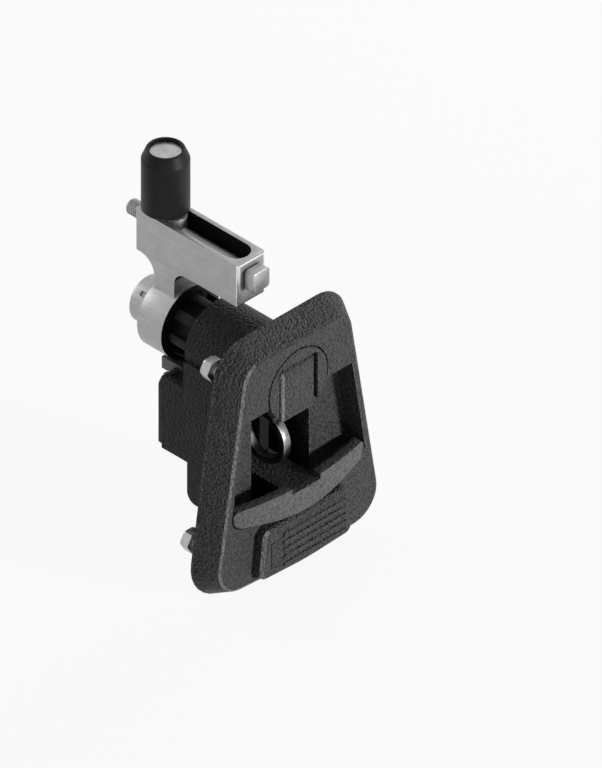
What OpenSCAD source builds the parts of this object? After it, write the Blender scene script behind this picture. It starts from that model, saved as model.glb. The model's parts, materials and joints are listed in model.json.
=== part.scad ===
// Recessed pull-handle cam latch for a toolbox lid or a cabinet door.
// X runs to the right, Y back through the panel, Z up. The origin is on the cam axis, where it
// crosses the face of the bezel that lies on the panel.

/* [Bezel] */
// Thickness of the bezel, from its front face to the panel
bezel_t = 13; // [12:0.1:14]
// How far the bezel's sides spread out from its front face to the panel
bezel_flare = 5.8; // [4:0.1:6.5]
// Depth of the bezel's tub behind the panel face
tub_back = 5; // [4.6:0.1:5.4]
// Top edge of the bezel above the cam axis
bezel_top = 24.8; // [23:0.2:30]
// Lowest edge of the bezel below the cam axis
bezel_bottom = 97.7; // [97:0.1:104]
// Half width of the bezel at its top edge
bezel_half_top = 33.3; // [33:0.1:37]
// Half width of the bezel at its bottom corners
bezel_half_low = 53.2; // [52:0.1:58]
// Radius of the top corners
bezel_top_r = 11.2; // [8:0.2:14]
// Radius of the bottom corners
bezel_low_r = 15; // [10:0.5:20]
// Rounding of the front edge
bezel_edge = 1.8; // [0.8:0.1:2.5]
// Depth of the finger dish below the front face
dish_depth = 11.7; // [10:0.1:13]
// Top edge of the dish below the cam axis
dish_top = 5.4; // [4:0.1:8]
// Half width of the channel through the bezel
channel_half = 18.4; // [17:0.1:18.5]
// Lower end of the channel below the cam axis
channel_low = 67.5; // [66:0.1:69]

/* [Lock] */
// Radius of the round lock body
disc_r = 18.4; // [17.5:0.1:19]
// Gap round the lock body
disc_gap = 0.8; // [0.5:0.1:1.2]
// Flat at the foot of the lock body, below the cam axis
disc_flat = 16.2; // [15.6:0.1:16.6]
// Half width of the sliding key cover
cover_half = 10.8; // [9.5:0.1:11]
// Top edge of the key cover above the cam axis
cover_top = 10.8; // [10:0.1:11.5]
// Thickness of the key cover
cover_t = 3.4; // [2.8:0.1:4]
// Gap round the key cover
cover_gap = 1.35; // [1:0.05:1.6]
// Radius of the key plug
plug_r = 4.6; // [3.5:0.1:5]
// Height of the key plug above the cam axis
plug_z = 5; // [4.6:0.1:5.4]

/* [Pull handle] */
// Half length of the pull bar
bar_half = 41.3; // [39:0.1:41.5]
// Top edge of the pull bar below the cam axis
bar_top = 51.3; // [50.5:0.1:52]
// Lower edge of the pull bar below the cam axis, at its middle
bar_low = 67.3; // [66.8:0.1:67.6]
// How far the middle of the pull bar stands out of the bezel
bar_belly = 5.4; // [4:0.1:6.5]
// Thickness of the pull bar
bar_t = 5; // [4:0.1:6]
// Half width of the neck behind the pull bar
neck_half = 9.4; // [8.5:0.1:10]
// Top face of the neck below the cam axis
neck_top = 54; // [53.8:0.1:54.6]
// Thickness of the neck
neck_t = 8; // [6:0.2:9]
// Width of the slot between the two legs
leg_slot = 7.2; // [7:0.1:8]
// Front face of the legs behind the panel face
leg_front = 15.4; // [15.2:0.1:15.8]
// Thickness of the legs, front to back
leg_t = 9.8; // [8:0.1:11]
// Handle pivot behind the panel face
pivot_y = 13; // [12.8:0.1:13.4]
// Handle pivot below the cam axis
pivot_z = 6.8; // [6.5:0.1:7]
// Radius of the pivot pin
pivot_r = 2; // [1.5:0.1:2.2]
// Radius of the hubs round the pivot pin
hub_eye_r = 6.2; // [5.5:0.1:6.3]
// Length of the rear arm of the handle, pivot to drive pin
rear_arm = 15; // [14:0.1:15.3]
// Angle of the rear arm above level, at rest
rear_angle = 20; // [18:0.5:21]
// Radius of the drive pin
drive_r = 1.8; // [1.4:0.1:2]

/* [Release button] */
// Half width of the button at its top edge
button_half_top = 26.6; // [24:0.1:28]
// Half width of the button at its lower edge
button_half_low = 29.4; // [27:0.1:30.5]
// Lower edge of the button below the cam axis
button_low = 94; // [92:0.1:94.4]
// How far the button stands out of the bezel
button_proud = 5.4; // [4:0.1:6]
// Depth of the button inside the bezel
button_deep = 6; // [5:0.1:6.5]
// Travel of the button
button_travel = 3; // [2:0.1:3.2]
// Number of grip ribs
rib_count = 5; // [3:1:5]
// Distance from rib to rib
rib_pitch = 4.05; // [3.8:0.05:4.2]
// Width of a rib
rib_w = 2.1; // [1.5:0.1:2.6]
// Height of a rib
rib_h = 0.9; // [0.5:0.1:1.2]

/* [Padlock eye] */
// Outer radius of the padlock eye
eye_r = 14.2; // [13.5:0.1:14.4]
// Radius of the hole in the padlock eye
eye_hole_r = 10.6; // [9:0.1:11]
// Thickness of the padlock eye
eye_t = 4.3; // [3.5:0.1:4.8]
// Centre of the eye behind the panel face
eye_y = 8.1; // [7.8:0.1:8.4]
// Centre of the eye below the cam axis
eye_z = 38.2; // [37.8:0.1:38.4]

/* [Housing] */
// Radius of the round head of the housing
barrel_r = 19.4; // [19:0.1:20]
// Half width of the housing
house_half = 20.2; // [20:0.1:21.5]
// Wall of the housing
house_wall = 3; // [2.5:0.1:3.2]
// Depth of the round head behind the panel face
barrel_back = 40.1; // [40:0.1:41]
// Back of the middle box behind the panel face
box_back = 54; // [53:0.1:55]
// Top edge of the middle box below the cam axis
box_top = 18.9; // [18.7:0.1:19.1]
// Foot of the middle box below the cam axis
box_low = 58.4; // [57:0.1:60]
// Back of the lower box behind the panel face
sump_back = 37.8; // [36:0.1:39]
// Foot of the lower box below the cam axis
sump_low = 79.6; // [77:0.1:82]
// Thickness of the rear cover
rear_cover_t = 2.7; // [2:0.1:3]

/* [Drive] */
// Radius of the cam shaft
shaft_r = 7; // [6:0.1:7.4]
// Radius of the bearing bush
bush_r = 9; // [8.5:0.1:9.6]
// Radius of the crank pin
crank_pin_r = 2; // [1.6:0.1:2.2]
// Thickness of the drive slide
slide_t = 2.5; // [2:0.1:2.6]
// Half width of the drive slide
slide_half = 12; // [11.6:0.1:12.2]
// Radius of the bearing collar over its ribs
collar_r = 15.4; // [14.5:0.1:17]
// Radius of the bearing collar between its ribs
collar_root_r = 12; // [11:0.1:12.5]
// Width of a rib of the bearing collar
collar_rib = 5; // [4:0.1:6]
// Width of the stop bracket's downturned sides, top to bottom
bracket_lip = 6.5; // [5:0.1:8]
// Reach of the stop bracket behind the front face of the hub
bracket_reach = 9.4; // [8:0.1:11]
// Height of the stop bracket's foot on the housing
bracket_foot = 11; // [8:0.1:12]

/* [Cam arm] */
// Radius of the hub
hub_r = 18.6; // [18:0.1:18.8]
// Front face of the hub behind the panel face
hub_front = 55.9; // [55.8:0.1:56.5]
// Width of the hub along the cam axis
hub_w = 15.3; // [14:0.1:17]
// Radius of the nut on the cam shaft
cam_nut_r = 11.7; // [10.5:0.1:12.5]
// Length of the nut on the cam shaft
cam_nut_t = 13; // [11.5:0.1:14]
// Radius of the thread on the cam shaft
cam_thread_r = 5; // [4.5:0.1:5]
// Half width of the arm
arm_half = 9; // [8.6:0.1:10]
// Front end of the arm behind the panel face
arm_front = 16.7; // [16.7:0.1:18]
// Rear end of the arm behind the panel face
arm_back = 82.4; // [82:0.1:85]
// Underside of the arm above the cam axis
arm_low = 31.7; // [31:0.1:33]
// Top of the arm above the cam axis
arm_top = 54; // [53.5:0.1:55]
// Half width of the slot in the arm
slot_half = 6.7; // [6.2:0.1:6.8]
// Wall at each end of the slot
slot_end = 3.2; // [2.6:0.1:4]
// Height of the adjusting screw above the cam axis
screw_z = 45.2; // [45.2:0.1:45.8]
// Radius of the adjusting screw
screw_r = 3.9; // [3:0.1:4]
// Side of the square head of the adjusting screw
head_side = 10.9; // [9:0.1:11]
// Rear tip of the adjusting screw behind the panel face
screw_tip = 93.8; // [91:0.1:97]

/* [Roller] */
// Roller axis behind the panel face
roller_y = 71.6; // [71:0.1:72]
// Radius of the roller
roller_r = 11.2; // [10:0.1:12]
// Length of the roller's straight side
roller_side = 27.2; // [20:0.1:32]
// Height of the cone on top of the roller
roller_cone = 5.4; // [4:0.1:6]
// Radius of the roller's top face
roller_top_r = 8.9; // [8.3:0.1:9.5]
// Radius of the roller pin
roller_pin_r = 4.5; // [3.5:0.1:5]
// Radius of the roller pin's head
pin_head_r = 7.5; // [6.5:0.1:7.8]

/* [Studs] */
// Radius of the mounting studs
stud_r = 3; // [2.5:0.1:3]
// Distance of the upper studs from the middle
stud_up_x = 29.9; // [29:0.1:30.5]
// Height of the upper studs above the cam axis
stud_up_z = 11; // [10:0.1:12]
// Distance of the lower studs from the middle
stud_low_x = 42.6; // [41:0.1:43.5]
// Depth of the lower studs below the cam axis
stud_low_z = 77.2; // [75:0.1:78]
// Depth of the studs' roots in the bezel
stud_deep = 8; // [6:0.1:9]
// Distance from the panel face to the nuts, as they are set here
panel_t = 9.5; // [8:0.1:9.5]
// Width across the flats of the nuts
nut_af = 10; // [9:0.1:10]
// Thickness of the nuts
nut_t = 5; // [4:0.1:5]

/* [Fits] */
// Running clearance on the radius of a turning pin or shaft
run = 0.05; // [0.02:0.01:0.08]
// Clearance on the radius of a pin or bush in its seat
seat = 0.02; // [0.01:0.01:0.03]
// Gap between pieces that pass one another
gap = 0.35; // [0.3:0.05:0.4]
// Play of a pin in its yoke slot
yoke_play = 0.35; // [0.32:0.01:0.4]

/* [Hidden] */
$fn = 64;
eps = 0.01;
over = 1;

front = -bezel_t;
dish_floor = front + dish_depth;
// Slope of the bezel's sides, which the dish follows
side_slope = (bezel_half_low - bezel_half_top) / (bezel_top + bezel_bottom - 3.2);
dish_half_top = 34.2;
dish_half_low = dish_half_top + side_slope * (bar_low - dish_top - 7);
// Shoulder in the bezel that carries the lock body
shoulder_y = front + 12;
lock_tail_r = disc_r - 3;
lock_back = tub_back + 0.9;
pocket_half = cover_half + cover_gap;
pocket_floor = front + cover_t + 0.3;
cover_tongue = 1.1;
tongue_t = 0.8;
neck_low = neck_top + neck_t;
leg_back = leg_front + leg_t;
arm_boss_r = drive_r + 1.5;
drive_y = pivot_y + rear_arm * cos(rear_angle);
drive_z = -pivot_z + rear_arm * sin(rear_angle);
// Farthest that the drive pin reaches back, with the rear arm level
drive_reach = pivot_y + rear_arm;
slide_front = drive_reach + arm_boss_r + 0.6;
slide_back = slide_front + slide_t;
crank_front = slide_back + 0.5;
crank_flange_t = 2.4;
barrel_wall_y = crank_front + crank_flange_t + 0.5;
// The slide falls by this much while the crank turns a quarter, from 45 degrees up to 45 down
slide_travel = 2 * rear_arm * sin(rear_angle);
crank_throw = slide_travel / 2 / sin(45);
crank_at = crank_throw * cos(45);
crank_flange_r = crank_throw + crank_pin_r + 0.8;
hub_back = hub_front + hub_w;
carrier_r = slot_half - 0.3;
slot_floor = arm_low + 4.5;
carrier_low = slot_floor + 0.3;
carrier_rear = arm_back - slot_end - slot_half - 0.3;
carrier_front = carrier_rear - 5.5;
roller_low = arm_top + 1.2;
roller_cone_z = roller_low + roller_side;
roller_top = roller_cone_z + roller_cone;
pin_head_t = 2.1;
pin_head_z = roller_top - 1.4 - pin_head_t;
button_top = bar_low + 1.1;
button_back = front + button_deep;
button_mid_z = -(button_top + button_low) / 2;
spring_well_r = 4.8;
spring_well_y = tub_back - 2;
flange_land = 1;
tub_wall = 3;
// Posts in the housing's corners, and the bracket that passes between the upper two
post_side = 7;
bracket_half = house_half - house_wall - post_side - 1.2;
hub_square = 10;
// Half width of a slot between two ribs of the bearing collar
collar_slot_half = collar_r * sin(180 / 8 - asin(collar_rib / 2 / collar_r));

// Direction of a vector
function unit(v) = v / norm(v);

// Angle turned from one direction to another, the short way
function turn(from, to) = to - from > 180 ? to - from - 360 : to - from < -180 ? to - from + 360 : to - from;

// Arc of radius r that rounds the corner b between a and c
function corner_arc(a, b, c, r, steps) =
    let (
        u = unit(a - b),
        w = unit(c - b),
        half = acos(u * w) / 2,
        tip = b + unit(u + w) * r / sin(half),
        first = b + u * r / tan(half) - tip,
        last = b + w * r / tan(half) - tip,
        a0 = atan2(first[1], first[0]),
        sweep = turn(a0, atan2(last[1], last[0]))
    )
    [for (i = [0:steps]) tip + r * [cos(a0 + sweep * i / steps), sin(a0 + sweep * i / steps)]];

function flat(p) = [p[0], p[1]];

// Outline of corners [x, y, radius], each rounded by its own radius
function rounded(corners, steps = 8) =
    let (n = len(corners))
    [for (i = [0:n - 1])
        each corners[i][2] > 0
            ? corner_arc(flat(corners[(i + n - 1) % n]), flat(corners[i]), flat(corners[(i + 1) % n]),
                corners[i][2], steps)
            : [flat(corners[i])]];

// Right half of a symmetric outline, given from top to bottom, closed by its mirror image
function both_sides(right) =
    let (n = len(right))
    concat(right, [for (i = [n - 1:-1:0]) if (right[i][0] > 0) [-right[i][0], right[i][1], right[i][2]]]);

// Solid between y0 and y1 with an outline in X and Z
module slab_y(y0, y1) {
    translate([0, y1, 0])
        rotate([90, 0, 0])
            linear_extrude(y1 - y0)
                children();
}

// Solid between x0 and x1 with an outline in Y and Z
module slab_x(x0, x1) {
    translate([x0, 0, 0])
        rotate([90, 0, 90])
            linear_extrude(x1 - x0)
                children();
}

// Rod along Y
module rod_y(r, y0, y1) {
    translate([0, y0, 0])
        rotate([-90, 0, 0])
            cylinder(r = r, h = y1 - y0);
}

// Rod along X
module rod_x(r, x0, x1) {
    translate([x0, 0, 0])
        rotate([0, 90, 0])
            cylinder(r = r, h = x1 - x0);
}

// Box from one corner to the opposite one
module box(low, high) {
    translate(low)
        cube(high - low);
}

// Children and their mirror image in X
module pair() {
    children();
    mirror([1, 0, 0])
        children();
}

// Closed coil of wire along Z, with its ends flat in the plane of the coil
module coil(mean_r, wire_r, turns, length) {
    sides = 6;
    per_turn = 14;
    rings = turns * per_turn;
    points = [for (i = [0:rings], k = [0:sides - 1])
        let (a = 360 * i / per_turn, b = 360 * k / sides, r = mean_r + wire_r * cos(b))
        [r * cos(a), r * sin(a), wire_r * sin(b) + wire_r + (length - 2 * wire_r) * i / rings]];
    skin = [for (i = [0:rings - 1], k = [0:sides - 1])
        [i * sides + k, (i + 1) * sides + k, (i + 1) * sides + (k + 1) % sides, i * sides + (k + 1) % sides]];
    first = [for (k = [0:sides - 1]) k];
    last = [for (k = [sides - 1:-1:0]) rings * sides + k];
    polyhedron(points, concat(skin, [first, last]), convexity = 10);
}

// Outline of the bezel, drawn in by inset
function bezel_outline(inset) = rounded(both_sides([
    [bezel_half_top - inset, bezel_top - inset, bezel_top_r - inset],
    [bezel_half_low - inset, -bezel_bottom + 3.2 + inset, bezel_low_r - inset],
    [0, -bezel_bottom + inset - 0.4, 180]]));

// Outline of the finger dish
function dish_outline() = rounded(both_sides([
    [dish_half_top, -dish_top, 1.2],
    [dish_half_low, -bar_low + 7, 8],
    [0, -bar_low - 5.2, 90]]));

// Outline of the tub behind the panel face, round the lock body, the dish and the button's spring
function tub_outline() = rounded(both_sides([
    [house_half + tub_wall, bezel_top - tub_wall, 8],
    [house_half + tub_wall, -dish_top + tub_wall, 0],
    [dish_half_top + tub_wall, -dish_top + tub_wall, 4],
    [dish_half_low + tub_wall, -bar_low + 4, 9],
    [house_half + 4, button_mid_z - spring_well_r - 2.5, 6]]));

// Outline of the release button, drawn out by grow
function button_outline(grow) = rounded(both_sides([
    [button_half_top + grow, -button_top + 1.6 + grow, 4 + grow],
    [button_half_low + grow, -button_low + 1.2 - grow, 4.5 + grow],
    [0, -button_low - 0.3 - grow, 160]]));

module stud_places() {
    pair() {
        translate([stud_up_x, 0, stud_up_z])
            children();
        translate([stud_low_x, 0, -stud_low_z])
            children();
    }
}

module bezel() {
    color("dimgray")
        difference() {
            union() {
                slab_y(-flange_land, 0)
                    polygon(bezel_outline(-bezel_flare));
                slab_y(-flange_land, tub_back)
                    polygon(tub_outline());
                hull() {
                    slab_y(-flange_land - eps, -flange_land)
                        polygon(bezel_outline(-bezel_flare));
                    slab_y(front + bezel_edge, front + bezel_edge + eps)
                        polygon(bezel_outline(0));
                    slab_y(front + bezel_edge * 0.4, front + bezel_edge)
                        polygon(bezel_outline(bezel_edge * 0.2));
                    slab_y(front, front + bezel_edge)
                        polygon(bezel_outline(bezel_edge * 0.9));
                }
            }
            rod_y(disc_r + disc_gap, front - over, shoulder_y);
            rod_y(lock_tail_r + seat, front, tub_back + over);
            slab_y(front - over, dish_floor)
                polygon(dish_outline());
            box([-channel_half, front - over, -channel_low], [channel_half, tub_back + over, -disc_flat]);
            slab_y(front - over, button_back + button_travel + gap)
                polygon(button_outline(gap));
            translate([0, 0, button_mid_z])
                rod_y(spring_well_r, front, spring_well_y);
            stud_places()
                rod_y(stud_r + seat, -stud_deep, over);
        }
}

module mounting_studs() {
    color("silver")
        stud_places()
            rod_y(stud_r, -stud_deep, panel_t + nut_t + 0.8);
}

module stud_nuts() {
    color("silver")
        stud_places()
            difference() {
                intersection() {
                    translate([0, panel_t, 0])
                        rotate([-90, 0, 0])
                            cylinder(r = nut_af / sqrt(3), h = nut_t, $fn = 6);
                    translate([0, panel_t, 0])
                        rotate([-90, 0, 0])
                            cylinder(r1 = nut_af / sqrt(3) + 2, r2 = nut_af / 2, h = nut_t + 0.6);
                }
                rod_y(stud_r + seat, 0, panel_t + nut_t + over);
            }
}

// Side view of the housing, drawn in by inset
function house_outline(inset) = rounded([
    [tub_back, -sump_low + inset, 0],
    [sump_back - inset, -sump_low + inset, 5.4 - inset],
    [sump_back - inset, -box_low + inset, 0],
    [box_back, -box_low + inset, 0],
    [box_back, -box_top, 0],
    [barrel_back, -box_top, 0],
    [barrel_back, -4, 0],
    [tub_back, -4, 0]]);

module housing() {
    inner = house_half - house_wall;
    barrel_in = barrel_r - house_wall;
    color("#2b2b2d")
        difference() {
            union() {
                difference() {
                    union() {
                        slab_x(-house_half, house_half)
                            polygon(house_outline(0));
                        rod_y(barrel_r, tub_back, barrel_back);
                    }
                    rod_y(barrel_in, tub_back - over, barrel_wall_y);
                    box([-inner, tub_back - over, -box_top - eps], [inner, barrel_wall_y, -2]);
                    box([-inner, tub_back - over, -box_low + house_wall], [inner, box_back + over, -box_top]);
                    box([-inner, barrel_back, -box_top - over], [inner, box_back + over, -box_top + over]);
                    box([-inner, tub_back - over, -sump_low + house_wall],
                        [inner, sump_back - house_wall, -box_low + house_wall + over]);
                }
                pair() {
                    box([slide_half - 1.3, slide_front - 2.6, -32], [inner + 0.4, barrel_wall_y + eps, 7]);
                    cover_posts();
                }
            }
            box([-slide_half - 0.3, slide_front - 0.3, -33], [slide_half + 0.3, slide_back + 0.3, 8]);
            rod_y(bush_r + seat, barrel_wall_y - over, barrel_back + over);
            translate([0, pivot_y, -pivot_z])
                rod_x(pivot_r + seat, -pivot_end(), pivot_end());
            screw_places()
                rod_y(1.6 + seat, box_back - 9, box_back + over);
        }
}

function pivot_end() = house_half - 1.4;

// Posts in the corners of the middle box, which the cover screws bite into
module cover_posts() {
    inner = house_half - house_wall;
    box([inner - post_side, barrel_back + 2, -box_low + house_wall - eps],
        [inner + eps, box_back, -box_low + house_wall + post_side]);
    box([inner - post_side, barrel_back + 2, -box_top - 10], [inner + eps, box_back, -box_top - 10 + post_side]);
}

module screw_places() {
    pair() {
        translate([house_half - house_wall - 3.6, 0, -box_low + house_wall + 3.6])
            children();
        translate([house_half - house_wall - 3.6, 0, -box_top - 6.4])
            children();
    }
}

module rear_cover() {
    color("#3c3c3e")
        difference() {
            slab_y(box_back, box_back + rear_cover_t)
                polygon(rounded(both_sides([
                    [house_half - 0.6, -box_top - 2.7, 4],
                    [house_half - 0.6, -box_low + 0.6, 2]])));
            screw_places()
                rod_y(1.6 + seat, box_back - over, box_back + rear_cover_t + over);
        }
}

module cover_screws() {
    color("silver")
        screw_places()
            difference() {
                union() {
                    rod_y(1.6, box_back - 8, box_back + rear_cover_t + eps);
                    rod_y(3, box_back + rear_cover_t, box_back + rear_cover_t + 1.8);
                }
                translate([0, box_back + rear_cover_t + 0.6, 0])
                    rotate([-90, 0, 0])
                        cylinder(r = 1.5, h = 2, $fn = 6);
            }
}

module padlock_eye() {
    foot_t = 3;
    color("lightgray")
        difference() {
            union() {
                translate([0, eye_y, -eye_z])
                    rod_x(eye_r, -eye_t / 2, eye_t / 2);
                box([-eye_t / 2, eye_y + eye_hole_r, -eye_z - 4.2], [eye_t / 2, box_back - foot_t + eps, -eye_z + 4.2]);
                box([-8, box_back - foot_t, -eye_z - 7], [8, box_back, -eye_z + 7]);
            }
            translate([0, eye_y, -eye_z])
                rod_x(eye_hole_r, -eye_t, eye_t);
        }
}

module stop_bracket() {
    sheet_t = 2.2;
    top = hub_r + 0.6;
    rear = hub_front + bracket_reach;
    color("gray")
        union() {
            box([-bracket_half, box_back - sheet_t, -top - sheet_t], [bracket_half, rear, -top]);
            box([-bracket_half, box_back - sheet_t, -top - bracket_foot], [bracket_half, box_back, -top - sheet_t + eps]);
            pair()
                box([bracket_half - sheet_t, box_back + rear_cover_t + 0.3, -top - bracket_lip],
                    [bracket_half, rear, -top - sheet_t + eps]);
        }
}

module bearing_collar() {
    slots = 8;
    collar_back = hub_front - gap;
    color("#232325")
        difference() {
            union() {
                rod_y(collar_r, barrel_back, collar_back - 1.5);
                rod_y(collar_root_r - 0.4, barrel_back, collar_back);
            }
            for (i = [0:slots - 1])
                rotate([0, (i + 0.5) * 360 / slots, 0])
                    box([collar_root_r, barrel_back - over, -collar_slot_half],
                        [collar_r + over, collar_back, collar_slot_half]);
            rod_y(bush_r + seat, barrel_back - over, collar_back + over);
        }
}

module bearing_bush() {
    color("#9a7b3c")
        difference() {
            rod_y(bush_r, barrel_wall_y, hub_front - gap);
            rod_y(shaft_r + run, barrel_wall_y - over, hub_front);
        }
}

module lock_body() {
    groove = cover_tongue + 0.3;
    color("dimgray")
        difference() {
            union() {
                rod_y(disc_r, front, shoulder_y);
                rod_y(lock_tail_r, shoulder_y - eps, lock_back);
            }
            box([-disc_r - over, front - over, -disc_r - over], [disc_r + over, lock_back + over, -disc_flat]);
            slab_y(front - over, pocket_floor)
                polygon(rounded([
                    [-pocket_half, -disc_flat - over, 0],
                    [pocket_half, -disc_flat - over, 0],
                    [pocket_half, cover_top + cover_gap, 1.6],
                    [-pocket_half, cover_top + cover_gap, 1.6]]));
            box([-pocket_half - groove, front + cover_t - tongue_t - 0.3, -disc_flat - over],
                [pocket_half + groove, pocket_floor, cover_top + 0.3]);
            translate([0, 0, plug_z])
                rod_y(plug_r + run, pocket_floor - over, front + 15);
        }
}

module key_cover() {
    edge = 2;
    color("#505052")
        difference() {
            union() {
                hull() {
                    box([-cover_half + edge, front, -disc_flat], [cover_half - edge, front + cover_t, cover_top - edge]);
                    box([-cover_half + edge * 0.45, front + edge * 0.15, -disc_flat],
                        [cover_half - edge * 0.45, front + cover_t, cover_top - edge * 0.45]);
                    box([-cover_half + edge * 0.15, front + edge * 0.45, -disc_flat],
                        [cover_half - edge * 0.15, front + cover_t, cover_top - edge * 0.15]);
                    box([-cover_half, front + edge, -disc_flat], [cover_half, front + cover_t, cover_top]);
                }
                box([-pocket_half - cover_tongue, front + cover_t - tongue_t, -disc_flat],
                    [pocket_half + cover_tongue, front + cover_t, cover_top]);
            }
            translate([0, front + cover_t, -disc_flat + 6])
                rod_x(0.6, -4, 4);
        }
}

module key_plug() {
    color("silver")
        translate([0, 0, plug_z])
            difference() {
                rod_y(plug_r, pocket_floor + 0.4, front + 14.7);
                box([-0.7, front, -2.9], [0.7, front + 12, 2.9]);
            }
}

module lever_pivot_pin() {
    color("silver")
        translate([0, pivot_y, -pivot_z])
            rod_x(pivot_r, -pivot_end() + 0.1, pivot_end() - 0.1);
}

module lever_return_spring() {
    color("silver")
        translate([neck_half + 1, pivot_y, -pivot_z])
            rotate([0, 90, 0])
                coil(3.1, 0.5, 4, 4.6);
}

// Side view of one leg of the handle, with its pivot hub and its rear arm
module leg_outline() {
    polygon(rounded([
        [leg_front, -pivot_z, 0],
        [leg_front, -neck_low + 2, 0],
        [leg_back, -neck_low + 2, 3],
        [leg_back, -pivot_z - 6, 4],
        [pivot_y + 4, -pivot_z + 4, 0]]));
    translate([pivot_y, -pivot_z])
        circle(r = hub_eye_r);
    translate([pivot_y, -pivot_z])
        rotate(rear_angle) {
            translate([0, -arm_boss_r])
                square([rear_arm, 2 * arm_boss_r]);
            translate([rear_arm, 0])
                circle(r = arm_boss_r);
        }
}

module t_handle() {
    bow_r = (bar_half * bar_half + bar_belly * bar_belly) / 2 / bar_belly;
    bow_y = front - bar_belly + bow_r;
    bar_foot = 7.2;
    color("#5c5c5e")
        difference() {
            union() {
                intersection() {
                    translate([0, bow_y, -bar_low - over])
                        difference() {
                            cylinder(r = bow_r, h = bar_low - bar_top + 2 * over, $fn = 360);
                            translate([0, 0, -over])
                                cylinder(r = bow_r - bar_t, h = bar_low - bar_top + 4 * over, $fn = 360);
                        }
                    slab_y(front - bar_belly - over, 0)
                        polygon(rounded(both_sides([
                            [bar_half, -bar_top, 2.6],
                            [bar_half, -bar_low + bar_foot, 6],
                            [0, -bar_low - 0.4, 110]])));
                }
                box([-neck_half, front - bar_belly + 2, -neck_low], [neck_half, leg_back - 3, -neck_top]);
                pair()
                    slab_x(leg_slot / 2, neck_half)
                        leg_outline();
            }
            box([-neck_half + 0.4, front - bar_belly - over, -neck_top], [neck_half - 0.4, front + 4, -bar_top + over]);
            translate([0, pivot_y, -pivot_z])
                rod_x(pivot_r + run, -neck_half - over, neck_half + over);
            translate([0, drive_y, drive_z])
                rod_x(drive_r + seat, -neck_half - over, neck_half + over);
        }
}

module drive_pin() {
    color("silver")
        translate([0, drive_y, drive_z])
            rod_x(drive_r, -neck_half + 0.2, neck_half - 0.2);
}

// Plate that carries the pull of the handle to the crank
module drive_slide() {
    lug_half = leg_slot / 2 - 0.5;
    slot_z = crank_pin_r + yoke_play;
    color("slategray")
        difference() {
            union() {
                box([-slide_half, slide_front, -9], [slide_half, slide_back, 9.6]);
                box([-lug_half, drive_y - drive_r - 3, drive_z - 5], [lug_half, slide_front + eps, drive_z + 5]);
            }
            box([-lug_half - over, drive_y - drive_r - yoke_play, drive_z - drive_r - yoke_play],
                [lug_half + over, drive_reach + drive_r + yoke_play, drive_z + drive_r + yoke_play]);
            box([crank_at - slot_z, slide_front - over, crank_at - slot_z],
                [crank_throw + slot_z, slide_back + over, crank_at + slot_z]);
        }
}

module cam_shaft() {
    color("silver")
        difference() {
            union() {
                rod_y(crank_flange_r, crank_front, crank_front + crank_flange_t);
                rod_y(shaft_r, crank_front, hub_front);
                box([-hub_square / 2, hub_front - eps, -hub_square / 2],
                    [hub_square / 2, hub_back, hub_square / 2]);
                rod_y(cam_thread_r, hub_back - eps, hub_back + cam_nut_t - 2);
            }
            translate([crank_at, 0, crank_at])
                rod_y(crank_pin_r + seat, crank_front - over, crank_front + crank_flange_t + over);
        }
}

module crank_pin() {
    color("silver")
        translate([crank_at, 0, crank_at])
            rod_y(crank_pin_r, slide_front + 0.2, crank_front + crank_flange_t);
}

module cam_arm() {
    neck_front = hub_front + 1.3;
    neck_back = hub_back - 1.4;
    arm_ends = 2;
    color("lightgray")
        difference() {
            union() {
                intersection() {
                    slab_x(-arm_half, arm_half)
                        polygon(rounded([
                            [neck_front, 8, 0],
                            [neck_front, arm_low, 7.2],
                            [arm_front, arm_low, 1],
                            [arm_front, arm_top, 1],
                            [arm_back, arm_top, 1],
                            [arm_back, arm_low, 1],
                            [neck_back, arm_low, 9],
                            [neck_back, 8, 0]]));
                    linear_extrude(arm_top + over)
                        polygon(rounded([
                            [-arm_half, arm_front, arm_ends],
                            [arm_half, arm_front, arm_ends],
                            [arm_half, arm_back, arm_ends],
                            [-arm_half, arm_back, arm_ends]]));
                }
                rod_y(hub_r, hub_front, hub_back);
            }
            translate([0, 0, slot_floor])
                linear_extrude(arm_top)
                    slot_outline(slot_half, arm_front + slot_end + slot_half, arm_back - slot_end - slot_half);
            translate([0, 0, screw_z])
                rod_y(screw_r + run, arm_front - over, arm_back + over);
            box([-hub_square / 2 - seat, hub_front - over, -hub_square / 2 - seat],
                [hub_square / 2 + seat, hub_back + over, hub_square / 2 + seat]);
        }
}

// Straight slot along Y with round ends of radius r, centred at y0 and y1
module slot_outline(r, y0, y1) {
    translate([-r, y0])
        square([2 * r, y1 - y0]);
    translate([0, y0])
        circle(r = r);
    translate([0, y1])
        circle(r = r);
}

module cam_nut() {
    chamfer = 1.2;
    color("lightgray")
        difference() {
            union() {
                rod_y(cam_nut_r, hub_back, hub_back + cam_nut_t - chamfer);
                translate([0, hub_back + cam_nut_t - chamfer, 0])
                    rotate([-90, 0, 0])
                        cylinder(r1 = cam_nut_r, r2 = cam_nut_r - chamfer, h = chamfer);
            }
            rod_y(cam_thread_r + seat, hub_back - over, hub_back + cam_nut_t - 1.8);
            for (a = [45:90:315])
                rotate([0, a, 0])
                    box([cam_nut_r - 1.4, hub_back + 2, -1.2], [cam_nut_r + over, hub_back + 8, 1.2]);
        }
}

module adjusting_screw() {
    head_back = arm_front - 0.7;
    head_t = 5.4;
    color("lightgray")
        translate([0, 0, screw_z]) {
            slab_y(head_back - head_t, head_back)
                polygon(rounded([
                    [-head_side / 2, -head_side / 2, 2.2],
                    [head_side / 2, -head_side / 2, 2.2],
                    [head_side / 2, head_side / 2, 2.2],
                    [-head_side / 2, head_side / 2, 2.2]]));
            rod_y(screw_r + 1, head_back - eps, arm_front - 0.3);
            rod_y(screw_r, head_back - eps, screw_tip);
        }
}

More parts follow.
